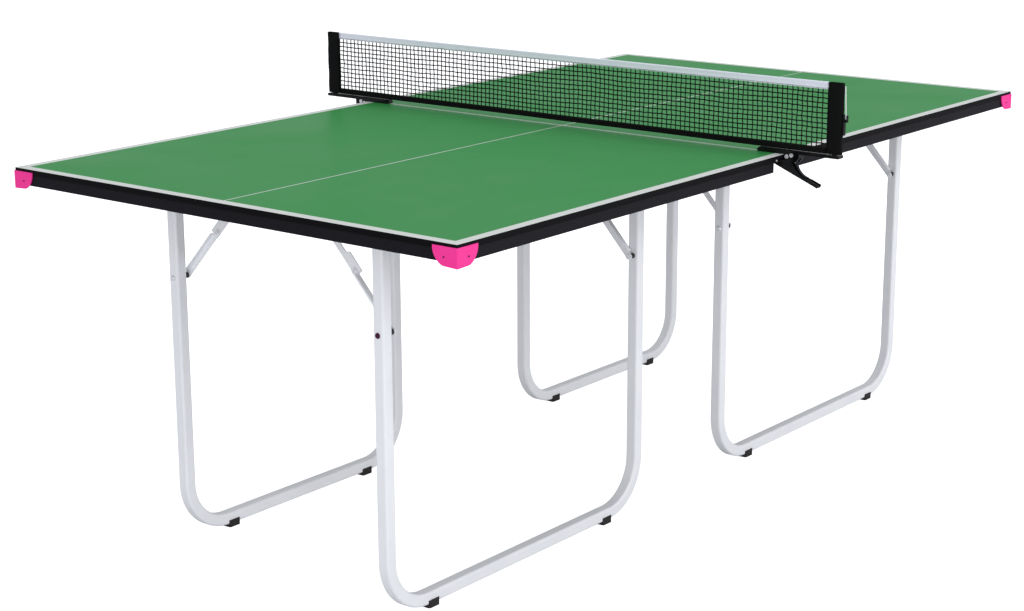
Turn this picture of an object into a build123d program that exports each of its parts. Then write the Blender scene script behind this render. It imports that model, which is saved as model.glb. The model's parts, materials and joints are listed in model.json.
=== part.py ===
from build123d import *
import os
from math import atan2, cos, degrees, hypot, radians, sin

# Three-quarter size table tennis table in two halves, millimetres.
# +X runs along the length, +Y across the width and +Z up. The origin is on the
# floor under the middle of the net. Half "a" is on the -X side and half "b" on
# the +X side; "front" is the -Y side, with the wider leg frames, and "rear" the
# +Y side, with the narrower ones, which fold flat inside the front frames.

# ---- driving dimensions -------------------------------------------------
TABLE_L = 2060.0
TABLE_W = 1120.0
TABLE_H = 760.0
BOARD_T = 12.0
JOINT_GAP = 3.0

RAIL_H = 21.0
RAIL_WALL = 1.6
RAIL_FLANGE = 15.0
RAIL_INSET = 0.8
CLAMP_GAP = 45.0          # the side rails stop this far from the middle of the net
JOINT_RAIL_X = 20.0
JOINT_RAIL_H = 16.0

GUARD_WING = 52.0
GUARD_TOP = 6.0
GUARD_BOTTOM = 41.0
GUARD_T = 2.2
GUARD_RIVET_REACH = 27.0
GUARD_RIVET_DROP = 24.0
GUARD_RIVET_R = 1.6
RAIL_SCREW_X = 37.0       # small screws in the board's edge, beyond the rails' ends
RAIL_SCREW_DROP = 9.0
RAIL_SCREW_R = 2.0
RAIL_SCREW_T = 1.2

FRAME_CENTRE_X = 549.0
FRONT_SPREAD = 388.0      # half the distance between a front frame's uprights
REAR_SPREAD = 316.0
FRONT_Y = -310.0
REAR_Y = 290.0
TUBE = 25.0
TUBE_WALL = 1.5
TUBE_CORNER = 5.0
TUBE_BEND = 100.0
HINGE_DROP = 29.0         # leg hinge axis below the table top
TUBE_OVER_HINGE = 7.0      # short enough to turn under the bracket's base

FOOT_INSET = 113.0
FOOT_PAD = 6.0
FOOT_LENGTH = 30.0
FOOT_TAB = 9.0
FOOT_WALL = 2.5

STAY_BOLT_DROP = 213.0    # stay bolt below the table top
STAY_TOP_REACH = 160.0    # stay bracket pivot, inwards from the leg hinge
STAY_TOP_DROP = 38.0      # stay bracket pivot below the table top
STAY_FOLDED_TILT = 4.0    # lower stay off level once folded, degrees
STAY_W = 13.0
STAY_T = 2.0
STAY_WEB = 9.0
SPACER_T = 11.7
SPACER_R = 5.5
RUNNING_GAP = 0.3
KNEE_W = 8.0
KNEE_UP = 32.0
KNEE_DOWN = 10.0

BOLT_R = 3.0
HEAD_R = 5.5
HEAD_T = 3.0
NUT_T = 3.5
EAR_T = 2.5
EAR_W = 26.0
BRACKET_BASE_T = 1.8
BRACKET_FOOT = 20.0
STAY_EAR_W = 18.0

NET_TOP = 152.5           # regulation net height over the top
TOP_TAPE_H = 15.0
BOTTOM_TAPE_H = 12.0
NET_CLEAR = 10.0
NET_T = 1.6
TAPE_T = 3.0
NET_HALF = 652.0
POST_Y = 670.0
POST_R = 5.0
SLEEVE_W = 36.0
SLEEVE_X = 14.0

CLAMP_W = 20.0
CLAMP_WALL = 3.0
ARM_IN = -64.0            # clamp positions run outwards from the table's edge
ARM_LOW = 3.0
ARM_HIGH = 9.0
JAW_IN = -61.0
BRACKET_OUT = 35.0
BRACKET_LOW = -14.5
LEVER_PIVOT = (8.0, -3.5)
LEVER_LUG_R = 5.0
CHEEK_SCREW = (18.5, -0.5)
LEVER_W = 13.0
LEVER_WALL = 2.0
LEVER_TIP = (76.0, -61.5)
LEVER_JAW = (-27.0, -20.5)
JAW_LIFT = -12.6          # top of the jaw, just under the board
JAW_PAD_OUT = -2.0
JAW_PAD_T = 3.4
GUSSET_EDGE = ((80, -55.5), (60, -47.5), (46, -43.5), (36, -38), (26, -29), (18, -20), (13.5, -9),
               (2.5, -9), (1.5, JAW_LIFT))
LEAF_T = 2.5
LEAF_W = 7.0

CORD_R = 1.1
HOOK_T = 2.5
HOOK_LOW, HOOK_HIGH = 50.0, 92.0      # heights above the table top
HORN_LOW, HORN_HIGH = 76.0, 81.0
HORN_REACH = 9.0
LIP_HIGH = 90.0

# ---- derived positions --------------------------------------------------
UNDERSIDE = TABLE_H - BOARD_T
EDGE_Y = TABLE_W / 2
END_X = TABLE_L / 2
HINGE_Z = TABLE_H - HINGE_DROP
BAR_Z = FOOT_PAD + TUBE / 2
BOLT_Z = TABLE_H - STAY_BOLT_DROP
STAY_TOP_Z = TABLE_H - STAY_TOP_DROP
LEG_FRAMES = {"front": (FRONT_SPREAD, FRONT_Y, 0), "rear": (REAR_SPREAD, REAR_Y, 180)}
HALVES = {"a": -1, "b": 1}


# ---- small shape helpers ------------------------------------------------
def block(x, y, z):
    """Box between three pairs of limits."""
    size = [abs(high - low) for low, high in (x, y, z)]
    middle = [(low + high) / 2 for low, high in (x, y, z)]
    return Pos(*middle) * Box(*size)


def rod_x(x0, x1, y, z, radius):
    """Round bar along X."""
    return Pos((x0 + x1) / 2, y, z) * Rot(0, 90, 0) * Cylinder(radius, abs(x1 - x0))


def prism_x(x0, x1, sketch):
    """Outline in the YZ plane, thick along X."""
    low, high = min(x0, x1), max(x0, x1)
    return extrude(Plane.YZ.offset(low) * sketch, amount=high - low)


def strip(start, end, width, holes=()):
    """Flat bar with round ends from one pivot to the other, as a YZ outline."""
    length = hypot(end[0] - start[0], end[1] - start[1])
    angle = degrees(atan2(end[1] - start[1], end[0] - start[0]))
    middle = Pos((start[0] + end[0]) / 2, (start[1] + end[1]) / 2) * Rot(0, 0, angle)
    outline = middle * SlotCenterToCenter(length, width)
    for spot, radius in holes:
        outline -= Pos(*spot) * Circle(radius)
    return outline


def along(start, end, outline_points):
    """Closed outline given along and across the line from start to end."""
    angle = degrees(atan2(end[1] - start[1], end[0] - start[0]))
    return Pos(*start) * Rot(0, 0, angle) * make_face(Polyline(*outline_points, close=True))


# ---- folding stay geometry, in one leg frame's own Y and Z --------------
def stay_points():
    """Bolt, knee and bracket pivot; the knee closes again once the frame is folded flat."""
    bolt = (0.0, BOLT_Z)
    bracket = (STAY_TOP_REACH, STAY_TOP_Z)
    span = hypot(bracket[0] - bolt[0], bracket[1] - bolt[1])
    folded_bolt = (HINGE_Z - BOLT_Z, HINGE_Z)
    offset = (folded_bolt[0] - bracket[0], folded_bolt[1] - bracket[1])
    tilt = radians(180 + STAY_FOLDED_TILT)
    lean = offset[0] * cos(tilt) + offset[1] * sin(tilt)
    lower = (span ** 2 - offset[0] ** 2 - offset[1] ** 2) / (2 * (span + lean))
    share = lower / span
    knee = (bolt[0] + share * (bracket[0] - bolt[0]), bolt[1] + share * (bracket[1] - bolt[1]))
    return bolt, knee, bracket


STAY_BOLT, STAY_KNEE, STAY_TOP = stay_points()


# ---- table halves -------------------------------------------------------
def board(side):
    near, far = JOINT_GAP / 2, END_X
    panel = block((side * near, side * far), (-EDGE_Y, EDGE_Y), (UNDERSIDE, TABLE_H))
    return chamfer(panel.faces().sort_by(Axis.Z)[0].edges(), 1.0)


def channel(length, height, flange):
    """Rolled channel along X, web on the -Y side, top at Z = 0 and middle at X = 0."""
    outside = block((-length / 2, length / 2), (0, flange), (-height, 0))
    rounded = fillet(outside.edges().filter_by(Axis.X).sort_by(Axis.Y)[:2], 1.4)
    hollow = block((-length, length), (RAIL_WALL, flange + 1), (-height + RAIL_WALL, -RAIL_WALL))
    return rounded - hollow


def side_rail(side, turn):
    length = END_X - RAIL_INSET - CLAMP_GAP
    rail = Pos(0, -(EDGE_Y - RAIL_INSET), UNDERSIDE) * channel(length, RAIL_H, RAIL_FLANGE)
    return Pos(side * (CLAMP_GAP + length / 2), 0, 0) * Rot(0, 0, turn) * rail


def end_rail(side):
    length = 2 * (EDGE_Y - RAIL_INSET - RAIL_FLANGE)
    rail = Pos(0, -(END_X - RAIL_INSET), UNDERSIDE) * channel(length, RAIL_H, RAIL_FLANGE)
    return Rot(0, 0, side * 90) * rail


def joint_rail(side):
    length = 2 * (EDGE_Y - RAIL_INSET - RAIL_FLANGE)
    rail = Pos(0, JOINT_RAIL_X, UNDERSIDE) * channel(length, JOINT_RAIL_H, RAIL_FLANGE)
    return Rot(0, 0, -side * 90) * rail


def guard_outline():
    """One wing of a corner guard, from the corner outwards."""
    top, low = TABLE_H - GUARD_TOP, TABLE_H - GUARD_BOTTOM
    toe = GUARD_WING * 0.58
    lines = [
        Line((-GUARD_T, top), (GUARD_WING, top)),
        ThreePointArc((GUARD_WING, top), (GUARD_WING * 0.87, top - 22), (toe, low + 1.5)),
        Line((toe, low + 1.5), (-GUARD_T, low)),
        Line((-GUARD_T, low), (-GUARD_T, top)),
    ]
    return make_face(Curve() + lines)


def corner_guard(side, edge):
    """Guard round the corner at X = side and Y = edge."""
    wing = guard_outline()
    along_end = extrude(Plane((0, 0, 0), x_dir=(0, 1, 0), z_dir=(1, 0, 0)) * wing, amount=-GUARD_T)
    along_side = extrude(Plane((0, 0, 0), x_dir=(1, 0, 0), z_dir=(0, -1, 0)) * wing, amount=GUARD_T)
    guard = along_end + along_side
    corner = guard.edges().filter_by(Axis.Z).sort_by(lambda e: e.center().X + e.center().Y)[0]
    guard = fillet(corner, GUARD_T * 0.9)
    return place_corner(guard, side, edge)


def guard_rivets(side, edge):
    z = TABLE_H - GUARD_RIVET_DROP
    on_end = Pos(-GUARD_T - 0.4, GUARD_RIVET_REACH, z) * Rot(0, 90, 0) * Cylinder(GUARD_RIVET_R, 0.8)
    on_side = Pos(GUARD_RIVET_REACH, -GUARD_T - 0.4, z) * Rot(90, 0, 0) * Cylinder(GUARD_RIVET_R, 0.8)
    return [place_corner(rivet, side, edge) for rivet in (on_end, on_side)]


def rail_screws(side):
    """One screw in the board's edge at the inner end of each side rail."""
    z = TABLE_H - RAIL_SCREW_DROP
    middle = EDGE_Y + RAIL_SCREW_T / 2
    return [Pos(side * RAIL_SCREW_X, edge * middle, z) * Rot(90, 0, 0)
            * Cylinder(RAIL_SCREW_R, RAIL_SCREW_T) for edge in (-1, 1)]


def place_corner(shape, side, edge):
    """Turn and mirror a piece made for the -X, -Y corner at the origin."""
    placed = Pos(-END_X, -EDGE_Y, 0) * shape
    if side > 0:
        placed = mirror(placed, Plane.YZ)
    if edge > 0:
        placed = mirror(placed, Plane.XZ)
    return placed


# ---- one leg frame, made at its own middle with the fold towards +Y ------
def leg_tube(spread):
    """U of square tube, both uprights drilled for the hinge and stay bolts."""
    top = HINGE_Z + TUBE_OVER_HINGE
    route = FilletPolyline(
        (-spread, 0, top), (-spread, 0, BAR_Z), (spread, 0, BAR_Z), (spread, 0, top), radius=TUBE_BEND
    )
    section = Plane((-spread, 0, top), x_dir=(1, 0, 0), z_dir=(0, 0, -1))
    bore = TUBE - 2 * TUBE_WALL
    outside = sweep(section * RectangleRounded(TUBE, TUBE, TUBE_CORNER), path=route)
    inside = sweep(section * RectangleRounded(bore, bore, TUBE_CORNER - TUBE_WALL), path=route)
    tube = outside - inside
    for z in (HINGE_Z, BOLT_Z):
        tube -= rod_x(-spread - TUBE, spread + TUBE, 0, z, BOLT_R + 0.2)
    return tube


def feet(spread):
    """Two saddle feet pushed on to the floor bar."""
    pads = []
    for end in (-1, 1):
        x = end * (spread - FOOT_INSET)
        reach = TUBE / 2 + FOOT_WALL
        saddle = block((x - FOOT_LENGTH / 2, x + FOOT_LENGTH / 2), (-reach, reach),
                       (0, FOOT_PAD + FOOT_TAB))
        saddle = fillet(saddle.edges().filter_by(Axis.Z), 4)
        slot = Pos(x, 0, BAR_Z) * Rot(0, 90, 0) * extrude(
            RectangleRounded(TUBE, TUBE, TUBE_CORNER), amount=FOOT_LENGTH, both=True)
        pads.append(saddle - slot)
    return pads


def bolt(outer, inner, y, z):
    """Domed head outside, shank through, nut inside; X runs from outer to inner."""
    way = 1 if inner > outer else -1
    head = rod_x(outer, outer - way * HEAD_T, y, z, HEAD_R)
    head = fillet(head.edges().sort_by(Axis.X)[0 if way > 0 else -1], HEAD_T * 0.7)
    shank = rod_x(outer, inner + way * NUT_T, y, z, BOLT_R)
    hexagon = RegularPolygon(HEAD_R, 6)
    nut = prism_x(inner, inner + way * NUT_T, Pos(y, z) * hexagon)
    return head + shank + nut


def leg_bolts(spread):
    """Hinge bolts and stay bolts of one leg frame."""
    bolts = []
    for end in (-1, 1):
        outer, inner = end * (spread + TUBE / 2), end * (spread - TUBE / 2)
        ear = end * (RUNNING_GAP + EAR_T + RUNNING_GAP)
        bolts.append(bolt(outer + ear, inner - ear, 0, HINGE_Z))
        stay = end * (SPACER_T + RUNNING_GAP + STAY_T + RUNNING_GAP)
        bolts.append(bolt(outer, inner - stay, *STAY_BOLT))
    return bolts


def stay_spacers(spread):
    """Bushes that hold the stays clear of the tube."""
    rings = []
    for end in (-1, 1):
        face = end * (spread - TUBE / 2)
        rings.append(rod_x(face, face - end * SPACER_T, *STAY_BOLT, SPACER_R)
                     - rod_x(face, face - end * SPACER_T, *STAY_BOLT, BOLT_R + 0.1))
    return rings


def lower_stays(spread):
    """Angle-section lower arms, bolt to knee, with the web towards the tube."""
    arms = []
    reach = hypot(STAY_KNEE[0] - STAY_BOLT[0], STAY_KNEE[1] - STAY_BOLT[1])
    holes = [(STAY_BOLT, BOLT_R + 0.3), (STAY_KNEE, BOLT_R)]
    for end in (-1, 1):
        face = end * (spread - TUBE / 2)
        near, far = SPACER_T + RUNNING_GAP, SPACER_T + RUNNING_GAP + STAY_T
        plate = prism_x(face - end * near, face - end * far, strip(STAY_BOLT, STAY_KNEE, STAY_W, holes))
        edge = STAY_W / 2
        corners = ((9, edge - STAY_T), (reach - 8, edge - STAY_T), (reach - 8, edge), (9, edge))
        web = prism_x(face - end * (near - STAY_WEB), face - end * near,
                      along(STAY_BOLT, STAY_KNEE, corners))
        arms.append(plate + web)
    return arms


def upper_stays(spread):
    """Flat upper arms, knee to bracket, widened at the knee."""
    arms = []
    holes = [(STAY_TOP, BOLT_R + 0.3), (STAY_KNEE, BOLT_R)]
    edge = STAY_W / 2
    knee = ((-KNEE_DOWN, -edge), (KNEE_UP, -edge), (KNEE_UP + 6, edge), (KNEE_UP, edge + KNEE_W),
            (-KNEE_DOWN, edge + KNEE_W))
    plate = along(STAY_KNEE, STAY_TOP, knee) + strip(STAY_KNEE, STAY_TOP, STAY_W)
    for spot, radius in holes:
        plate -= Pos(*spot) * Circle(radius)
    for end in (-1, 1):
        face = end * (spread - TUBE / 2)
        near = SPACER_T + STAY_T + 2 * RUNNING_GAP
        arms.append(prism_x(face - end * near, face - end * (near + STAY_T), plate))
    return arms


def stay_rivets(spread):
    """Knee rivets, headed on the lower arm."""
    rivets = []
    for end in (-1, 1):
        face = end * (spread - TUBE / 2)
        near, far = SPACER_T + RUNNING_GAP, SPACER_T + RUNNING_GAP + STAY_T
        head = rod_x(face - end * (near - 1.6), face - end * near, *STAY_KNEE, BOLT_R + 1.2)
        shank = rod_x(face - end * near, face - end * far, *STAY_KNEE, BOLT_R)
        rivets.append(head + shank)
    return rivets


def leg_brackets(spread):
    """Two-eared hinge brackets and one-eared stay brackets, screwed under the board."""
    brackets = []
    for end in (-1, 1):
        centre = end * spread
        inner = TUBE / 2 + RUNNING_GAP
        outer = inner + EAR_T
        saddle = block((centre - outer - BRACKET_FOOT, centre + outer + BRACKET_FOOT),
                       (-EAR_W / 2, EAR_W / 2), (UNDERSIDE - BRACKET_BASE_T, UNDERSIDE))
        lobe = Pos(0, HINGE_Z) * Circle(EAR_W / 2 - 3)
        lobe += Pos(0, (HINGE_Z + UNDERSIDE) / 2) * Rectangle(EAR_W, UNDERSIDE - HINGE_Z)
        lobe -= Pos(0, HINGE_Z) * Circle(BOLT_R + 0.3)
        for x in (centre - outer, centre + inner):
            saddle += prism_x(x, x + EAR_T, lobe)
        brackets.append(saddle)

        face = end * (spread - TUBE / 2 - SPACER_T - 2 * STAY_T - 3 * RUNNING_GAP)
        ear = Pos(*STAY_TOP) * Circle(STAY_EAR_W / 2)
        ear += Pos(STAY_TOP[0], (STAY_TOP[1] + UNDERSIDE) / 2) * Rectangle(
            STAY_EAR_W, UNDERSIDE - STAY_TOP[1])
        ear -= Pos(*STAY_TOP) * Circle(BOLT_R)
        plate = prism_x(face, face - end * EAR_T, ear)
        foot = block((face, face - end * BRACKET_FOOT),
                     (STAY_TOP[0] - STAY_EAR_W / 2, STAY_TOP[0] + STAY_EAR_W / 2),
                     (UNDERSIDE - BRACKET_BASE_T, UNDERSIDE))
        brackets.append(plate + foot)
    return brackets


def stay_pins(spread):
    """Pins that carry the upper arms, headed behind the bracket ear."""
    pins = []
    for end in (-1, 1):
        arm = end * (spread - TUBE / 2 - SPACER_T - STAY_T - 2 * RUNNING_GAP)
        ear = arm - end * (STAY_T + RUNNING_GAP)
        pins.append(rod_x(arm, ear - end * EAR_T, *STAY_TOP, BOLT_R)
                    + rod_x(ear - end * EAR_T, ear - end * (EAR_T + 1.6), *STAY_TOP, BOLT_R + 1.2))
    return pins


# ---- net set, made on the +Y side and turned round for the other ---------
def at_edge(outward, up):
    """Clamp positions: outwards from the table's edge and up from its top."""
    return (EDGE_Y + outward, TABLE_H + up)


def clamp_outline(points):
    return make_face(Polyline(*[at_edge(*point) for point in points], close=True))


def net_clamp():
    """Post rod, arm over the table, upper jaw and the channel that holds the lever."""
    half = CLAMP_W / 2
    post_out = POST_Y - EDGE_Y
    arm = prism_x(-half, half, clamp_outline([
        (ARM_IN, ARM_LOW), (post_out + 14, ARM_LOW), (post_out + 14, ARM_HIGH), (ARM_IN + 6, ARM_HIGH)]))
    jaw = prism_x(-half, half, clamp_outline([
        (JAW_IN, 0.3), (JAW_IN, ARM_LOW), (3, ARM_LOW), (3, 0.3)]))
    cheek_outline = clamp_outline([
        (3, ARM_HIGH), (3, BRACKET_LOW + 6), (8, BRACKET_LOW), (BRACKET_OUT - 8, BRACKET_LOW),
        (BRACKET_OUT, BRACKET_LOW + 8), (BRACKET_OUT, ARM_HIGH)])
    cheeks = [prism_x(x, x + CLAMP_WALL, cheek_outline) for x in (-half, half - CLAMP_WALL)]
    outer_wall = prism_x(-half, half, clamp_outline([
        (BRACKET_OUT - CLAMP_WALL, ARM_LOW), (BRACKET_OUT, ARM_LOW),
        (BRACKET_OUT, BRACKET_LOW + 8), (BRACKET_OUT - CLAMP_WALL, BRACKET_LOW + 8)]))
    bracket = arm + jaw + cheeks[0] + cheeks[1] + outer_wall
    pivot = at_edge(*LEVER_PIVOT)
    bracket -= rod_x(-CLAMP_W, CLAMP_W, *pivot, BOLT_R)
    post = Pos(0, POST_Y, TABLE_H + (ARM_HIGH + NET_TOP - 4) / 2) * Cylinder(POST_R, NET_TOP - 4 - ARM_HIGH)
    return [bracket + post]


def lever():
    """Channel-section lever: jaw under the board, two gussets and a handle."""
    pivot = at_edge(*LEVER_PIVOT)
    slope = atan2(LEVER_TIP[1] - LEVER_JAW[1], LEVER_TIP[0] - LEVER_JAW[0])
    normal = (-sin(slope) * LEVER_WALL * 1.5, cos(slope) * LEVER_WALL * 1.5)
    lifted = [(x + normal[0], z + normal[1]) for x, z in (LEVER_TIP, LEVER_JAW)]
    sole = prism_x(-LEVER_W / 2, LEVER_W / 2, clamp_outline([LEVER_JAW, LEVER_TIP, *lifted]))
    gusset = clamp_outline([LEVER_JAW, LEVER_TIP, *GUSSET_EDGE, (LEVER_JAW[0], JAW_LIFT)])
    gusset += Pos(*pivot) * Circle(LEVER_LUG_R)
    gusset += Pos(pivot[0], pivot[1] - LEVER_LUG_R / 1.5) * Rectangle(2 * LEVER_LUG_R, LEVER_LUG_R / 0.75)
    gusset -= Pos(*pivot) * Circle(BOLT_R + 0.3)
    for x in (-LEVER_W / 2, LEVER_W / 2 - LEVER_WALL):
        sole += prism_x(x, x + LEVER_WALL, gusset)
    pad = prism_x(-LEVER_W / 2, LEVER_W / 2, clamp_outline([
        (LEVER_JAW[0], JAW_LIFT), (LEVER_JAW[0], JAW_LIFT - JAW_PAD_T),
        (JAW_PAD_OUT, JAW_LIFT - JAW_PAD_T), (JAW_PAD_OUT, JAW_LIFT)]))
    return [sole + pad]


def leaf_spring():
    """Curved leaf between the channel's outer wall and the lever."""
    outer = ThreePointArc(at_edge(25.5, -10.5), at_edge(31, -28), at_edge(52, -43))
    inner = ThreePointArc(at_edge(25.5 - LEAF_T, -10.5), at_edge(31 - LEAF_T, -28.8), at_edge(51, -45.3))
    top = Line(at_edge(25.5 - LEAF_T, -10.5), at_edge(25.5, -10.5))
    toe = Line(at_edge(51, -45.3), at_edge(52, -43))
    return [prism_x(-LEAF_W / 2, LEAF_W / 2, make_face(Curve() + [outer, inner, top, toe]))]


def clamp_fasteners():
    """Headed lever pivot pin and a screw through each cheek beside it."""
    half = CLAMP_W / 2
    pin = rod_x(-half, half, *at_edge(*LEVER_PIVOT), BOLT_R)
    heads = {spot: [rod_x(end * half, end * (half + 1.8), *at_edge(*spot), BOLT_R + 1.2)
                    for end in (-1, 1)] for spot in (LEVER_PIVOT, CHEEK_SCREW)}
    return [pin + heads[LEVER_PIVOT][0] + heads[LEVER_PIVOT][1], *heads[CHEEK_SCREW]]


def sleeve():
    """Closed pocket of the net that slips down over the post."""
    low, high = TABLE_H + ARM_HIGH + 0.5, TABLE_H + NET_TOP + 1.0
    y0, y1 = POST_Y - SLEEVE_W / 2, POST_Y + SLEEVE_W / 2
    body = block((-SLEEVE_X / 2, SLEEVE_X / 2), (y0, y1), (low, high))
    body = fillet(body.edges().filter_by(Axis.Z), 5)
    pocket = Pos(0, POST_Y, (low + high) / 2 - 4) * Cylinder(POST_R + 0.4, high - low)
    return [body - pocket]


def net_band(low, high, thick):
    end = NET_HALF - 0.2
    return [block((-thick / 2, thick / 2), (-end, end), (TABLE_H + low, TABLE_H + high))]


def cord_hook():
    """Cleat on the outer face of the front post's sleeve."""
    face = -(POST_Y + SLEEVE_W / 2)
    tip = face - HORN_REACH
    plate = block((-4, 4), (face - HOOK_T, face), (TABLE_H + HOOK_LOW, TABLE_H + HOOK_HIGH))
    horn = block((-2, 2), (tip, face - HOOK_T), (TABLE_H + HORN_LOW, TABLE_H + HORN_HIGH))
    lip = block((-2, 2), (tip, tip + HOOK_T), (TABLE_H + HORN_HIGH, TABLE_H + LIP_HIGH))
    return [plate + horn + lip]


def net_cord():
    """Tension cord, straight from the end of the top tape to the cleat."""
    face = -(POST_Y + SLEEVE_W / 2)
    start = Vector(0, face - 1.4, TABLE_H + NET_TOP - 6)
    finish = Vector(0, face - 4.6, TABLE_H + 82.5)
    run = Line(start, finish)
    return [sweep(Plane(start, z_dir=run % 0) * Circle(CORD_R), path=run)]


# ---- writing the nodes --------------------------------------------------
def write(name, solids):
    pieces = []
    for solid in solids:
        pieces.extend(solid.solids())
    export_step(Compound(children=pieces) if len(pieces) > 1 else pieces[0], f"parts/{name}.step")


def write_half(half, side):
    write(f"half_{half}_board", [board(side)])
    write(f"half_{half}_front_rail", [side_rail(side, 0)])
    write(f"half_{half}_rear_rail", [side_rail(side, 180)])
    write(f"half_{half}_end_rail", [end_rail(side)])
    write(f"half_{half}_joint_rail", [joint_rail(side)])
    write(f"half_{half}_corner_guards", [corner_guard(side, edge) for edge in (-1, 1)])
    brackets, rivets = [], rail_screws(side)
    for edge in (-1, 1):
        rivets += guard_rivets(side, edge)
    for spread, y, turn in LEG_FRAMES.values():
        spot = Pos(side * FRAME_CENTRE_X, y, 0) * Rot(0, 0, turn)
        brackets += [spot * bracket for bracket in leg_brackets(spread)]
        rivets += [spot * pin for pin in stay_pins(spread)]
    write(f"half_{half}_leg_brackets", brackets)
    write(f"half_{half}_rivets", rivets)


def write_leg(half, side, place):
    spread, y, turn = LEG_FRAMES[place]
    spot = Pos(side * FRAME_CENTRE_X, y, 0) * Rot(0, 0, turn)
    pieces = {
        "tube": [leg_tube(spread)],
        "feet": feet(spread),
        "bolts": leg_bolts(spread),
        "stay_spacers": stay_spacers(spread),
        "lower_stays": lower_stays(spread),
        "upper_stays": upper_stays(spread),
        "stay_rivets": stay_rivets(spread),
    }
    for piece, solids in pieces.items():
        write(f"{place}_leg_{half}_{piece}", [spot * solid for solid in solids])


def write_net():
    for place, turn in {"front": 180, "rear": 0}.items():
        pieces = {
            "net_clamp": net_clamp(),
            "clamp_lever": lever(),
            "clamp_spring": leaf_spring(),
            "clamp_pins": clamp_fasteners(),
            "net_sleeve": sleeve(),
        }
        for piece, solids in pieces.items():
            write(f"{place}_{piece}", [Rot(0, 0, turn) * solid for solid in solids])
    mesh_low, mesh_high = NET_CLEAR + BOTTOM_TAPE_H, NET_TOP - TOP_TAPE_H
    write("net_mesh", net_band(mesh_low, mesh_high, NET_T))
    write("net_top_tape", net_band(mesh_high, NET_TOP, TAPE_T))
    write("net_bottom_tape", net_band(NET_CLEAR, mesh_low, TAPE_T))
    write("net_cord", net_cord())
    write("net_cord_hook", cord_hook())


os.makedirs("parts", exist_ok=True)
for half_name, half_side in HALVES.items():
    write_half(half_name, half_side)
    for leg_place in LEG_FRAMES:
        write_leg(half_name, half_side, leg_place)
write_net()
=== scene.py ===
import json
from math import pi, radians

import bmesh
import bpy
from bpy.props import FloatProperty, FloatVectorProperty, IntProperty, PointerProperty
from mathutils import Euler, Matrix, Vector, noise


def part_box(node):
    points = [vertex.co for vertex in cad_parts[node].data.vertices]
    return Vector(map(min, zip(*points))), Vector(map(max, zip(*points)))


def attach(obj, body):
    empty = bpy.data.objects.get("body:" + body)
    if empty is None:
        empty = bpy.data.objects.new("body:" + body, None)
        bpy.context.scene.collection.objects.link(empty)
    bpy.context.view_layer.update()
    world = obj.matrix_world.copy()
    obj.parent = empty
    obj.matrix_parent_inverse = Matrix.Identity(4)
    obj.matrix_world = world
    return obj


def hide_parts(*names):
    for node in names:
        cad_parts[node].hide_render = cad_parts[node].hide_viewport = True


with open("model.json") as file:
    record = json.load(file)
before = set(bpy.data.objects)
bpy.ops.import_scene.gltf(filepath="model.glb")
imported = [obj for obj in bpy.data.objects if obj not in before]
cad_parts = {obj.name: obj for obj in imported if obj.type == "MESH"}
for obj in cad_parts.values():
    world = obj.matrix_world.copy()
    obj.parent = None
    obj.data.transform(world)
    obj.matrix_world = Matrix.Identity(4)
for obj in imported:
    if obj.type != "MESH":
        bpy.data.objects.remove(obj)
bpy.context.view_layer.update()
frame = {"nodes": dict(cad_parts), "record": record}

bl_info = {
    "name": "Table tennis table",
    "version": (1, 0, 0),
    "blender": (4, 5, 0),
    "location": "3D View > Sidebar > Table tennis",
    "description": "Finishes, net and studio for a two-part table tennis table",
    "category": "Object",
}

MM = 0.001
BOARD_LOW, BOARD_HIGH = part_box("half_a_board")
TOP_Z = BOARD_HIGH.z
END_X = -BOARD_LOW.x
EDGE_Y = BOARD_HIGH.y
JOINT_X = -BOARD_HIGH.x

WAVE_REPEAT_MM = 314.16   # a wave texture of scale 1 repeats every 0.314 m
FACE_DEPTH = 0.4 * MM     # how far below a board's face its paint still shows
# width of the pale hairline painted beside the joint as a highlight on the boards' bevelled inner
# edges
JOINT_BEVEL = 2.8 * MM
GUARD_REACH = 0.08
MIX_A, MIX_B, MIX_RESULT = 6, 7, 2   # colour sockets of a Mix node

CAMERA_PLACE = (-3.5522, -2.6680, 1.5117)
CAMERA_LENS = 72.89
# soft boxes: one to the right of the camera, a low one behind it on the left, one overhead
# name, place, aim, width and power
SOFT_BOXES = (
    ("key", (1.5, -6.0, 2.6), (0.3, 0.0, 0.5), 4.0, 165.0),
    ("low_fill", (-6.5, -2.2, 0.9), (0.2, 0.0, 0.35), 3.0, 125.0),
    ("overhead", (0.0, 0.5, 5.0), (0.0, 0.0, 0.7), 5.0, 60.0))


# ---- colours, nodes and materials ---------------------------------------
def linear(hex_colour):
    """sRGB hex colour as linear RGBA."""
    parts = [int(hex_colour[i:i + 2], 16) / 255 for i in (1, 3, 5)]
    return [c / 12.92 if c <= 0.04045 else ((c + 0.055) / 1.055) ** 2.4 for c in parts] + [1.0]


def add_node(tree, kind, values=None, links=None, **settings):
    """A node with its settings, its socket values and the sockets that feed it."""
    node = tree.nodes.new(kind)
    for name, value in settings.items():
        setattr(node, name, value)
    for socket, value in (values or {}).items():
        node.inputs[socket].default_value = value
    for socket, source in (links or {}).items():
        tree.links.new(source, node.inputs[socket])
    return node


def new_material(name, colour, roughness, **sockets):
    """Principled material with uniform values on its own sockets."""
    material = bpy.data.materials.new(name)
    material.use_nodes = True
    tree = material.node_tree
    shader = tree.nodes["Principled BSDF"]
    shader.inputs["Base Color"].default_value = linear(colour)
    shader.inputs["Roughness"].default_value = roughness
    for socket, value in sockets.items():
        shader.inputs[socket.replace("_", " ")].default_value = value
    return material, tree, shader


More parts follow.
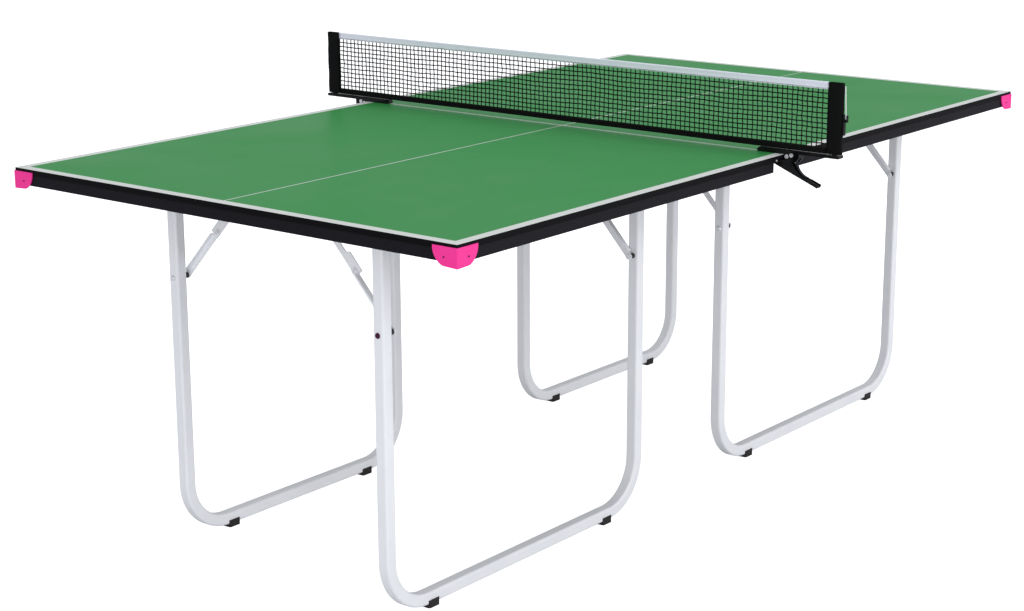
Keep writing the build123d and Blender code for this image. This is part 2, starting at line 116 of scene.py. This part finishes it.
def grain(tree, shader, size_mm, height_mm, rough, colours=None, patch_mm=60.0):
    """Surface relief of one grain size, uneven gloss, and a slow drift between two colours."""
    place = add_node(tree, "ShaderNodeTexCoord").outputs["Object"]
    fine = add_node(tree, "ShaderNodeTexNoise", {"Scale": 1000 / size_mm, "Detail": 2.0},
                    {"Vector": place})
    slow = add_node(tree, "ShaderNodeTexNoise", {"Scale": 1000 / patch_mm, "Detail": 3.0},
                    {"Vector": place})
    gloss = add_node(tree, "ShaderNodeMapRange",
                     {"From Min": 0.3, "From Max": 0.7, "To Min": rough[0], "To Max": rough[1]},
                     {"Value": slow.outputs["Fac"]})
    tree.links.new(gloss.outputs["Result"], shader.inputs["Roughness"])
    bump = add_node(tree, "ShaderNodeBump", {"Strength": 0.6, "Distance": height_mm * MM},
                    {"Height": fine.outputs["Fac"]})
    tree.links.new(bump.outputs["Normal"], shader.inputs["Normal"])
    drift = None
    if colours:
        mix = add_node(tree, "ShaderNodeMix",
                       {MIX_A: linear(colours[0]), MIX_B: linear(colours[1])},
                       {0: slow.outputs["Fac"]}, data_type="RGBA")
        drift = mix.outputs[MIX_RESULT]
        tree.links.new(drift, shader.inputs["Base Color"])
    return place, slow.outputs["Fac"], drift


def weave(tree, shader, across, along, thread_mm, height_mm, colours):
    """Plain weave: threads run along two axes, with darker gaps between them."""
    place = add_node(tree, "ShaderNodeTexCoord").outputs["Object"]
    threads = [add_node(tree, "ShaderNodeTexWave",
                        {"Scale": WAVE_REPEAT_MM / thread_mm, "Distortion": 0.4, "Detail": 1.0},
                        {"Vector": place}, bands_direction=axis) for axis in (across, along)]
    cloth = add_node(tree, "ShaderNodeMath",
                     links={0: threads[0].outputs["Fac"], 1: threads[1].outputs["Fac"]},
                     operation="MULTIPLY")
    slow = add_node(tree, "ShaderNodeTexNoise", {"Scale": 28.0, "Detail": 3.0}, {"Vector": place})
    shade = add_node(tree, "ShaderNodeMath", {2: 0.25},
                     {0: cloth.outputs[0], 1: slow.outputs["Fac"]}, operation="MULTIPLY_ADD")
    mix = add_node(tree, "ShaderNodeMix", {MIX_A: linear(colours[0]), MIX_B: linear(colours[1])},
                   {0: shade.outputs[0]}, data_type="RGBA")
    tree.links.new(mix.outputs[MIX_RESULT], shader.inputs["Base Color"])
    bump = add_node(tree, "ShaderNodeBump", {"Strength": 0.7, "Distance": height_mm * MM},
                    {"Height": cloth.outputs[0]})
    tree.links.new(bump.outputs["Normal"], shader.inputs["Normal"])


def dress(slot, material):
    """Gives a finish to every CAD node of one material slot."""
    for row in frame["record"]["subparts"]:
        if row["material_slot"] == slot:
            piece = frame["nodes"][row["node"]]
            if not piece.material_slots:
                piece.data.materials.append(material)
            for place in piece.material_slots:
                place.material = material


# ---- pieces -------------------------------------------------------------
def finish_piece(bm, name, material, slot, body, *stands_for):
    """Turns a bmesh into a named piece that rides on a body."""
    bmesh.ops.recalc_face_normals(bm, faces=bm.faces)
    mesh = bpy.data.meshes.new(name)
    bm.to_mesh(mesh)
    bm.free()
    for face in mesh.polygons:
        face.use_smooth = True
    mesh.materials.append(material)
    piece = bpy.data.objects.new(name, mesh)
    bpy.context.scene.collection.objects.link(piece)
    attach(piece, body)
    if stands_for:
        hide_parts(*stands_for)
    return piece


def unevenness(place, spread_mm, amount_mm, seed):
    """Smooth random offset along one axis, the same on each run."""
    return noise.noise(Vector(place) / (spread_mm * MM) + Vector((seed, 0, 0))) * amount_mm * MM


def add_modifier(piece, kind, **settings):
    modifier = piece.modifiers.new(kind.title(), kind)
    for name, value in settings.items():
        setattr(modifier, name, value)
    return modifier


# ---- sizes and finishes a user would change -----------------------------
class TableSizes(bpy.types.PropertyGroup):
    """Sizes of the painted lines, the net and its cord"""

    border_width: FloatProperty(
        name="Border line", description="Width of the white line round the table",
        default=0.020, unit="LENGTH")
    centre_width: FloatProperty(
        name="Centre line", description="Width of the white line along the middle",
        default=0.003, unit="LENGTH")
    net_columns: IntProperty(
        name="Net columns", description="Meshes from one end of the net to the other", default=113)
    net_rows: IntProperty(
        name="Net rows", description="Meshes from the bottom tape to the top tape", default=12)
    # thicker than real twine, so that the net reads as dark as the real one does
    strand: FloatProperty(
        name="Strand", description="Thickness at which the net's twine is drawn",
        default=0.0036, unit="LENGTH")
    stitch_pitch: FloatProperty(
        name="Stitch pitch", description="Distance from one stitch to the next",
        default=0.0045, unit="LENGTH")
    cord_diameter: FloatProperty(
        name="Cord", description="Diameter of the net's tension cord", default=0.0022,
        unit="LENGTH")


class TableFinishes(bpy.types.PropertyGroup):
    """Colours of the painted table top"""

    playing_green: FloatVectorProperty(
        name="Playing surface", description="Paint of the table top", subtype="COLOR",
        size=4, default=linear("#36904A"))
    line_white: FloatVectorProperty(
        name="Lines", description="Paint of the lines", subtype="COLOR",
        size=4, default=linear("#E0E4E0"))


# ---- operators ----------------------------------------------------------
class TABLETENNIS_OT_stage(bpy.types.Operator):
    """Makes the camera, the lights and the pale studio floor"""

    bl_idname = "tabletennis.stage"
    bl_label = "Studio"

    def execute(self, context):
        scene = context.scene
        azimuth, elevation, roll = radians(-51.662), radians(14.569), radians(-0.2213)
        camera = bpy.data.objects.new("camera", bpy.data.cameras.new("camera"))
        scene.collection.objects.link(camera)
        turn = Euler((pi / 2 - elevation, 0, azimuth)).to_matrix() @ Euler((0, 0, roll)).to_matrix()
        camera.rotation_euler = turn.to_euler()
        camera.location = CAMERA_PLACE
        camera.data.lens = CAMERA_LENS
        camera.data.clip_end = 200.0
        scene.camera = camera
        scene.view_settings.view_transform = "Standard"

        world = bpy.data.worlds.new("studio")
        world.use_nodes = True
        scene.world = world
        tree = world.node_tree
        room = tree.nodes["Background"]
        room.inputs["Color"].default_value = linear("#F4F6FA")
        room.inputs["Strength"].default_value = 0.62
        white = add_node(tree, "ShaderNodeBackground", {"Color": linear("#FFFFFF"), "Strength": 1.0})
        seen = add_node(tree, "ShaderNodeLightPath").outputs["Is Camera Ray"]
        both = add_node(tree, "ShaderNodeMixShader",
                        links={0: seen, 1: room.outputs[0], 2: white.outputs[0]})
        tree.links.new(both.outputs[0], tree.nodes["World Output"].inputs["Surface"])

        for name, spot, aim, size, power in SOFT_BOXES:
            lamp = bpy.data.lights.new(name, "AREA")
            lamp.size = size
            lamp.energy = power
            holder = bpy.data.objects.new(name, lamp)
            scene.collection.objects.link(holder)
            holder.location = spot
            holder.rotation_euler = (Vector(aim) - Vector(spot)).to_track_quat("-Z", "Y").to_euler()

        bm = bmesh.new()
        bmesh.ops.create_grid(bm, x_segments=4, y_segments=4, size=40.0)
        mesh = bpy.data.meshes.new("floor")
        bm.to_mesh(mesh)
        bm.free()
        floor = bpy.data.objects.new("floor", mesh)
        scene.collection.objects.link(floor)
        # white painted studio sweep, lit until it is nearly paper white
        sweep, tree, shader = new_material("painted_studio_sweep", "#DADBDD", 0.9,
                                           Specular_IOR_Level=0.1)
        glow = add_node(tree, "ShaderNodeEmission", {"Color": linear("#FFFFFF"), "Strength": 0.86})
        lit = add_node(tree, "ShaderNodeAddShader", links={0: shader.outputs[0], 1: glow.outputs[0]})
        seen = add_node(tree, "ShaderNodeLightPath").outputs["Is Camera Ray"]
        both = add_node(tree, "ShaderNodeMixShader",
                        links={0: seen, 1: shader.outputs[0], 2: lit.outputs[0]})
        tree.links.new(both.outputs[0], tree.nodes["Material Output"].inputs["Surface"])
        floor.data.materials.append(sweep)
        return {"FINISHED"}


class TABLETENNIS_OT_cord(bpy.types.Operator):
    """Makes the net's tension cord, pulled down to the hook on the front post"""

    bl_idname = "tabletennis.cord"
    bl_label = "Tension cord"

    def execute(self, context):
        diameter = context.scene.table_sizes.cord_diameter
        # from the end of the top tape down to the hook on the post
        high, low = Vector((0, -0.6894, 0.9065)), Vector((0, -0.6926, 0.8425))
        curve = bpy.data.curves.new("tension_cord", "CURVE")
        curve.dimensions = "3D"
        curve.bevel_depth = diameter / 2
        curve.bevel_resolution = 5
        curve.use_fill_caps = True
        line = curve.splines.new("NURBS")
        line.points.add(3)
        for point, share in zip(line.points, (0.0, 0.35, 0.7, 1.0)):
            point.co = (*high.lerp(low, share), 1.0)
        line.order_u = 3
        line.use_endpoint_u = True
        line.resolution_u = 12
        # braided polyester cord: bright and matt, with the strands' slanting ribs
        braid, tree, shader = new_material("braided_polyester", "#E8E8EC", 0.75, Sheen_Weight=0.3)
        place = add_node(tree, "ShaderNodeTexCoord").outputs["Object"]
        rib = add_node(tree, "ShaderNodeTexWave", {"Scale": WAVE_REPEAT_MM / 1.2, "Distortion": 1.0},
                       {"Vector": place}, bands_direction="DIAGONAL")
        bump = add_node(tree, "ShaderNodeBump", {"Strength": 0.8, "Distance": 0.2 * MM},
                        {"Height": rib.outputs["Fac"]})
        tree.links.new(bump.outputs["Normal"], shader.inputs["Normal"])
        cord = bpy.data.objects.new("tension_cord", curve)
        context.scene.collection.objects.link(cord)
        curve.materials.append(braid)
        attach(cord, "half_a")
        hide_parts("net_cord")
        return {"FINISHED"}


class TABLETENNIS_OT_boards(bpy.types.Operator):
    """Paints the two boards with their green playing surface, white lines and black edges"""

    bl_idname = "tabletennis.boards"
    bl_label = "Boards"

    def execute(self, context):
        sizes, finishes = context.scene.table_sizes, context.scene.table_finishes
        # roller-painted wood-based board: satin green with a faint stipple, so the sheen is broken
        paint, tree, shader = new_material("painted_particle_board", "#36904A", 0.4,
                                           Specular_IOR_Level=0.06)
        place, slow, _ = grain(tree, shader, 1.6, 0.04, (0.36, 0.46), patch_mm=220.0)
        axes = add_node(tree, "ShaderNodeSeparateXYZ", links={0: place})
        along, across = (add_node(tree, "ShaderNodeMath", links={0: axes.outputs[i]},
                                  operation="ABSOLUTE").outputs[0] for i in (0, 1))
        height = axes.outputs[2]
        # where each zone of the board lies: the distance it reads, the test and the limit
        zones = {
            "end_line": (along, "GREATER_THAN", END_X - sizes.border_width),
            "side_line": (across, "GREATER_THAN", EDGE_Y - sizes.border_width),
            "centre_line": (across, "LESS_THAN", sizes.centre_width / 2),
            "joint": (along, "LESS_THAN", JOINT_X + JOINT_BEVEL),
            "top": (height, "GREATER_THAN", TOP_Z - FACE_DEPTH),
            "underside": (height, "LESS_THAN", BOARD_LOW.z + FACE_DEPTH)}
        for name, (distance, test, limit) in zones.items():
            zones[name] = add_node(tree, "ShaderNodeMath", {1: limit}, {0: distance},
                                   operation=test).outputs[0]
        lines = zones["end_line"]
        for name in ("side_line", "centre_line"):
            lines = add_node(tree, "ShaderNodeMath", links={0: lines, 1: zones[name]},
                             operation="MAXIMUM").outputs[0]
        green, white = (
            add_node(tree, "ShaderNodeMix", {MIX_A: paint_colour, MIX_B: linear(drifted)},
                     {0: slow}, data_type="RGBA").outputs[MIX_RESULT]
            for paint_colour, drifted in ((finishes.playing_green, "#39934D"),
                                          (finishes.line_white, "#D4D9D5")))
        # the boards' inner edges are bevelled, and the light they catch is painted as a pale hairline
        # beside the joint (a painted highlight); over that come the lines, then the black sides and
        # the brown backing
        bevel_highlight = add_node(tree, "ShaderNodeMix", {MIX_B: linear("#BCD2BF")},
                        {0: zones["joint"], MIX_A: green}, data_type="RGBA")
        printed = add_node(tree, "ShaderNodeMix", None,
                           {0: lines, MIX_A: bevel_highlight.outputs[MIX_RESULT], MIX_B: white},
                           data_type="RGBA")
        sides = add_node(tree, "ShaderNodeMix", {MIX_A: linear("#0A080C")},
                         {0: zones["top"], MIX_B: printed.outputs[MIX_RESULT]}, data_type="RGBA")
        backing = add_node(tree, "ShaderNodeMix", {MIX_B: linear("#35322D")},
                           {0: zones["underside"], MIX_A: sides.outputs[MIX_RESULT]},
                           data_type="RGBA")
        tree.links.new(backing.outputs[MIX_RESULT], shader.inputs["Base Color"])
        dress("board_green", paint)
        return {"FINISHED"}


class TABLETENNIS_OT_rails(bpy.types.Operator):
    """Powder coats the apron rails and finishes brackets, bolts, rivets and screws"""

    bl_idname = "tabletennis.rails"
    bl_label = "Rails and fasteners"

    def execute(self, context):
        # black polyester powder coat on rolled steel: half gloss with a fine orange peel
        coat, tree, shader = new_material("black_powder_coat", "#0F0E13", 0.45,
                                          Specular_IOR_Level=0.12)
        grain(tree, shader, 2.2, 0.05, (0.38, 0.52), ("#0C0A10", "#16141B"), 90.0)
        dress("rail_black", coat)
        # bright zinc plate: pale grey metal with uneven gloss; part of its paleness is painted
        # reflection, as the metal is made partly diffuse and near white so that it reads like zinc
        # mirroring the white studio
        zinc, tree, shader = new_material("bright_zinc_plate", "#F0F1F4", 0.34, Metallic=0.6)
        place, _, drift = grain(tree, shader, 1.4, 0.03, (0.24, 0.42), ("#E6E8EB", "#F4F5F7"), 12.0)
        # zinc parts near the board's ends, the rivets through the corner guards, are coloured dark
        # pink, so they read as dark dots
        axes = add_node(tree, "ShaderNodeSeparateXYZ", links={0: place})
        along = add_node(tree, "ShaderNodeMath", links={0: axes.outputs[0]}, operation="ABSOLUTE")
        at_guards = add_node(tree, "ShaderNodeMath", {1: END_X - GUARD_REACH},
                             {0: along.outputs[0]}, operation="GREATER_THAN")
        tint = add_node(tree, "ShaderNodeMix", {MIX_B: linear("#4A1430")},
                        {0: at_guards.outputs[0], MIX_A: drift}, data_type="RGBA")
        tree.links.new(tint.outputs[MIX_RESULT], shader.inputs["Base Color"])
        dress("zinc_steel", zinc)
        return {"FINISHED"}


class TABLETENNIS_OT_guards(bpy.types.Operator):
    """Gives the four corner guards their pink moulded plastic"""

    bl_idname = "tabletennis.guards"
    bl_label = "Corner guards"

    def execute(self, context):
        # injection-moulded polypropylene: even pink, soft sheen, very light spark texture
        plastic, tree, shader = new_material("moulded_polypropylene", "#F0308E", 0.42,
                                             Specular_IOR_Level=0.25)
        grain(tree, shader, 0.9, 0.03, (0.38, 0.5), ("#FA3096", "#FF3EA0"), 30.0)
        dress("guard_pink", plastic)
        return {"FINISHED"}


class TABLETENNIS_OT_legs(bpy.types.Operator):
    """Finishes the leg frames: white coated tube and stays, rubber feet and plastic bushes"""

    bl_idname = "tabletennis.legs"
    bl_label = "Leg frames"

    def execute(self, context):
        # white epoxy-polyester powder coat on steel tube: cool white, satin, slight orange peel
        coat, tree, shader = new_material("white_powder_coat", "#F2F3F7", 0.42)
        grain(tree, shader, 2.0, 0.06, (0.32, 0.46), ("#EEEFF4", "#F6F7FA"), 70.0)
        dress("leg_white", coat)
        # moulded rubber saddles: dull black, dusty in patches
        rubber, tree, shader = new_material("moulded_rubber", "#1C191A", 0.82)
        grain(tree, shader, 0.7, 0.08, (0.72, 0.9), ("#171415", "#272324"), 14.0)
        dress("foot_black", rubber)
        # turned nylon bushes: black with a low sheen
        nylon, tree, shader = new_material("black_nylon", "#141315", 0.5)
        grain(tree, shader, 0.6, 0.03, (0.42, 0.6), ("#111012", "#1B1A1D"), 10.0)
        dress("spacer_black", nylon)
        return {"FINISHED"}


class TABLETENNIS_OT_clamps(bpy.types.Operator):
    """Finishes the two net clamps, their levers and their leaf springs"""

    bl_idname = "tabletennis.clamps"
    bl_label = "Net clamps"

    def execute(self, context):
        # gloss black stoving enamel on pressed steel: deep black with sharp highlights
        enamel, tree, shader = new_material("black_stoving_enamel", "#060607", 0.24,
                                            Specular_IOR_Level=0.25)
        grain(tree, shader, 1.8, 0.05, (0.18, 0.36), ("#050506", "#0B0B0D"), 24.0)
        dress("clamp_black", enamel)
        # blued spring steel: dark metal with a satin streak
        steel, tree, shader = new_material("blued_spring_steel", "#24262A", 0.35, Metallic=1.0)
        grain(tree, shader, 1.0, 0.03, (0.28, 0.45), ("#1E2024", "#2E3136"), 12.0)
        dress("spring_steel", steel)
        return {"FINISHED"}


def net_limits():
    """Ends and heights of the netting and its two tapes."""
    low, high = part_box("net_mesh")
    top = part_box("net_top_tape")[1].z
    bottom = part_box("net_bottom_tape")[0].z
    return high.y, low.z, high.z, bottom, top


def net_fabrics():
    """Materials of the net, made once and shared."""
    if "knotted_nylon_twine" not in bpy.data.materials:
        # twisted nylon twine: matt black with a slight twist
        twine, tree, shader = new_material("knotted_nylon_twine", "#060607", 0.8,
                                           Specular_IOR_Level=0.2)
        place = add_node(tree, "ShaderNodeTexCoord").outputs["Object"]
        twist = add_node(tree, "ShaderNodeTexWave", {"Scale": WAVE_REPEAT_MM / 1.5, "Distortion": 0.6},
                         {"Vector": place}, bands_direction="DIAGONAL")
        bump = add_node(tree, "ShaderNodeBump", {"Strength": 0.6, "Distance": 0.15 * MM},
                        {"Height": twist.outputs["Fac"]})
        tree.links.new(bump.outputs["Normal"], shader.inputs["Normal"])
        # woven polyester tape: bluish white with a fine rib, thread drawn at 0.8 mm
        _, tree, shader = new_material("white_polyester_tape", "#F2F2FC", 0.8, Sheen_Weight=0.1)
        weave(tree, shader, "Y", "Z", 0.8, 0.12, ("#E6E8F8", "#F6F7FF"))
        _, tree, shader = new_material("black_polyester_tape", "#060607", 0.8,
                                       Specular_IOR_Level=0.15)
        weave(tree, shader, "Y", "Z", 0.8, 0.12, ("#030304", "#0A0A0C"))
        # coated canvas: close black weave with a dull sheen
        _, tree, shader = new_material("coated_canvas", "#060607", 0.75,
                                       Specular_IOR_Level=0.15)
        weave(tree, shader, "Z", "Y", 1.0, 0.15, ("#020203", "#070709"))
        _, tree, shader = new_material("white_sewing_thread", "#E6E8EE", 0.6)
        grain(tree, shader, 0.5, 0.05, (0.55, 0.7))
        _, tree, shader = new_material("black_sewing_thread", "#1C1C20", 0.6)
        grain(tree, shader, 0.5, 0.05, (0.55, 0.7))
    return bpy.data.materials


def hang(y, spread_mm=260.0, amount_mm=1.6, seed=3.0):
    """How far the net leans out of its plane at one place along it."""
    return unevenness((0, y, 0), spread_mm, amount_mm, seed)


def folded_tape(name, material, slot, node, fold_z, edge_z, roll_mm, seed):
    """Cloth tape folded lengthways round the net's edge cord, with both flaps hanging or standing."""
    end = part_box(node)[1].y
    # one flap, from its edge to the fold: offset from the net in mm, share of the flap's height
    sections = ((-1.15, 1.0), (-1.2, 0.8), (-1.2, 0.55), (-1.25, 0.3), (-1.2 * roll_mm, 0.16),
                (-1.1 * roll_mm, 0.07), (-0.6 * roll_mm, 0.01), (0, 0))
    profile = list(sections) + [(-x, share) for x, share in reversed(sections[:-1])]
    bm = bmesh.new()
    bmesh.ops.create_grid(bm, x_segments=150, y_segments=len(profile) - 1, size=0.5)
    for vert in bm.verts:
        x, share = profile[round((vert.co.y + 0.5) * (len(profile) - 1))]
        y = 2 * end * vert.co.x
        flare = 1.0 + 0.25 * noise.noise(Vector((y * 40, seed + (x > 0), 0))) * share
        z = fold_z + (edge_z - fold_z) * share
        slack = unevenness((0, y, share), 320.0, 0.8, seed)
        vert.co = (x * MM * flare + hang(y), y, z + slack)
    piece = finish_piece(bm, name, material, slot, "half_a", node)
    add_modifier(piece, "SOLIDIFY", thickness=0.6 * MM, offset=0.0, use_even_offset=True)
    return piece


def stitches(name, material, slot, ends, height, out_mm, pitch, seed):
    """Two rows of sewing thread through a tape, one on each face."""
    bm = bmesh.new()
    count = int((ends[1] - ends[0]) / pitch)
    for side in (-1, 1):
        for i in range(count):
            y = ends[0] + (i + 0.5) * pitch
            slant = Matrix.Rotation(0.05 * noise.noise(Vector((i * 1.7, seed, side))), 4, "X")
            place = Matrix.Translation((side * out_mm * MM + hang(y), y, height)) @ slant
            shape = Matrix.Diagonal((0.35 * MM, 0.36 * pitch, 0.42 * MM, 1.0))
            bmesh.ops.create_icosphere(bm, subdivisions=1, radius=1.0, matrix=place @ shape)
    return finish_piece(bm, name, material, slot, "half_a")


class TABLETENNIS_OT_net(bpy.types.Operator):
    """Makes the netting, its two folded tapes and their stitching"""

    bl_idname = "tabletennis.net"
    bl_label = "Net and tapes"

    def execute(self, context):
        sizes = context.scene.table_sizes
        fabric = net_fabrics()
        end, low, high, bottom, top = net_limits()
        columns, rows = sizes.net_columns, sizes.net_rows
        bm = bmesh.new()
        bmesh.ops.create_grid(bm, x_segments=columns, y_segments=rows, size=0.5)
        for vert in bm.verts:
            y, share = 2 * end * vert.co.x, vert.co.y + 0.5
            z = low - 2 * MM + (high - low + 4 * MM) * share
            inner = min(share, 1 - share) * 4
            y_off = unevenness((y, z, 0), 16.0, 1.6, 11.0) + unevenness((y, z, 0), 90.0, 2.0, 5.0)
            z_off = unevenness((y, z, 0), 14.0, 1.3, 23.0) + unevenness((y, z, 0), 120.0, 2.2, 9.0)
            if abs(vert.co.x) > 0.4999:   # the two ends stay straight
                y_off = 0.0
            vert.co = (hang(y) + unevenness((y, z, 1), 60.0, 1.2, 31.0) * min(1, inner),
                       y + y_off, z + z_off * min(1, inner))
        strands = finish_piece(bm, "net_strands", fabric["knotted_nylon_twine"], "net_black",
                               "half_a", "net_mesh")
        knots = bmesh.new()
        for vert in strands.data.vertices:
            place = Matrix.Translation(vert.co) @ Matrix.Diagonal((0.9, 1.2, 0.95, 1.0))
            bmesh.ops.create_icosphere(knots, subdivisions=1, radius=0.42 * sizes.strand, matrix=place)
        knots = finish_piece(knots, "net_knots", fabric["knotted_nylon_twine"], "net_black", "half_a")
        add_modifier(strands, "WIREFRAME", thickness=sizes.strand, use_replace=True,
                     use_even_offset=False, use_boundary=True)
        tapes = [
            folded_tape("top_tape", fabric["white_polyester_tape"], "tape_white", "net_top_tape",
                        top, high, 1.5, 2.0),
            folded_tape("bottom_tape", fabric["black_polyester_tape"], "tape_black",
                        "net_bottom_tape", bottom, low, 1.3, 7.0)]
        sewing = [
            stitches("top_tape_stitches", fabric["white_sewing_thread"], "tape_white",
                     (-end + 4 * MM, end - 4 * MM), high + 1.6 * MM, 1.55, sizes.stitch_pitch, 1.0),
            stitches("bottom_tape_stitches", fabric["black_sewing_thread"], "tape_black",
                     (-end + 4 * MM, end - 4 * MM), low - 1.6 * MM, 1.55, sizes.stitch_pitch, 4.0)]
        return {"FINISHED"}


class TABLETENNIS_OT_sleeves(bpy.types.Operator):
    """Makes the two cloth sleeves that slip over the net posts"""

    bl_idname = "tabletennis.sleeves"
    bl_label = "Post sleeves"

    def execute(self, context):
        fabric = net_fabrics()
        for place in ("front", "rear"):
            node = f"{place}_net_sleeve"
            low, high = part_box(node)
            middle, half = (low + high) / 2, (high - low) / 2
            bm = bmesh.new()
            bmesh.ops.create_circle(bm, segments=44, radius=1.0)
            for vert in bm.verts:
                across, along = vert.co.x, vert.co.y
                size = (abs(across) ** 2.6 + abs(along) ** 3.4) ** (1 / 3.0)
                vert.co = (across / size * half.x * 0.94, middle.y + along / size * half.y * 0.97,
                           low.z + 1 * MM)
            rim = list(bm.edges)
            steps = 26
            for step in range(steps):
                made = bmesh.ops.extrude_edge_only(bm, edges=rim)["geom"]
                rim = [item for item in made if isinstance(item, bmesh.types.BMEdge)]
                verts = [item for item in made if isinstance(item, bmesh.types.BMVert)]
                bmesh.ops.translate(bm, verts=verts, vec=(0, 0, (high.z - low.z - 2 * MM) / steps))
            # the top is hemmed: the cloth turns in and down again
            for sink, shrink in ((0.0, 0.93), (-7 * MM, 0.9), (-14 * MM, 0.9)):
                made = bmesh.ops.extrude_edge_only(bm, edges=rim)["geom"]
                rim = [item for item in made if isinstance(item, bmesh.types.BMEdge)]
                for vert in (item for item in made if isinstance(item, bmesh.types.BMVert)):
                    vert.co.x *= shrink
                    vert.co.y = middle.y + (vert.co.y - middle.y) * (0.5 + shrink / 2)
                    vert.co.z = high.z - 1 * MM + sink
            seed = 3.0 if place == "front" else 8.0
            for vert in bm.verts:
                out = Vector((vert.co.x, vert.co.y - middle.y, 0)).normalized()
                crease = unevenness(vert.co, 26.0, 1.1, seed) + unevenness(vert.co, 9.0, 0.35, seed)
                vert.co += out * (crease - 0.5 * MM)
            sleeve = finish_piece(bm, f"{place}_post_sleeve", fabric["coated_canvas"],
                                  "sleeve_black", "half_a", node)
            add_modifier(sleeve, "SOLIDIFY", thickness=0.7 * MM, offset=-1.0)
            add_modifier(sleeve, "SUBSURF", levels=1, render_levels=1)
        return {"FINISHED"}


# ---- panel, registration and run ----------------------------------------
OPERATORS = (TABLETENNIS_OT_stage, TABLETENNIS_OT_cord, TABLETENNIS_OT_boards, TABLETENNIS_OT_rails,
             TABLETENNIS_OT_guards, TABLETENNIS_OT_legs, TABLETENNIS_OT_clamps,
             TABLETENNIS_OT_net, TABLETENNIS_OT_sleeves)


class TABLETENNIS_PT_table(bpy.types.Panel):
    bl_idname = "TABLETENNIS_PT_table"
    bl_label = "Table tennis table"
    bl_space_type = "VIEW_3D"
    bl_region_type = "UI"
    bl_category = "Table tennis"

    def draw(self, context):
        for group in (context.scene.table_sizes, context.scene.table_finishes):
            for name in group.bl_rna.properties.keys():
                if name not in ("rna_type", "name"):
                    self.layout.prop(group, name)
        for operator in OPERATORS:
            self.layout.operator(operator.bl_idname)


CLASSES = (TableSizes, TableFinishes, *OPERATORS, TABLETENNIS_PT_table)


def register():
    for cls in CLASSES:
        bpy.utils.register_class(cls)
    bpy.types.Scene.table_sizes = PointerProperty(type=TableSizes)
    bpy.types.Scene.table_finishes = PointerProperty(type=TableFinishes)


def unregister():
    del bpy.types.Scene.table_finishes
    del bpy.types.Scene.table_sizes
    for cls in reversed(CLASSES):
        bpy.utils.unregister_class(cls)


def main():
    register()
    for operator in OPERATORS:
        group, name = operator.bl_idname.split(".")
        getattr(getattr(bpy.ops, group), name)()


if __name__ == "__main__":
    main()
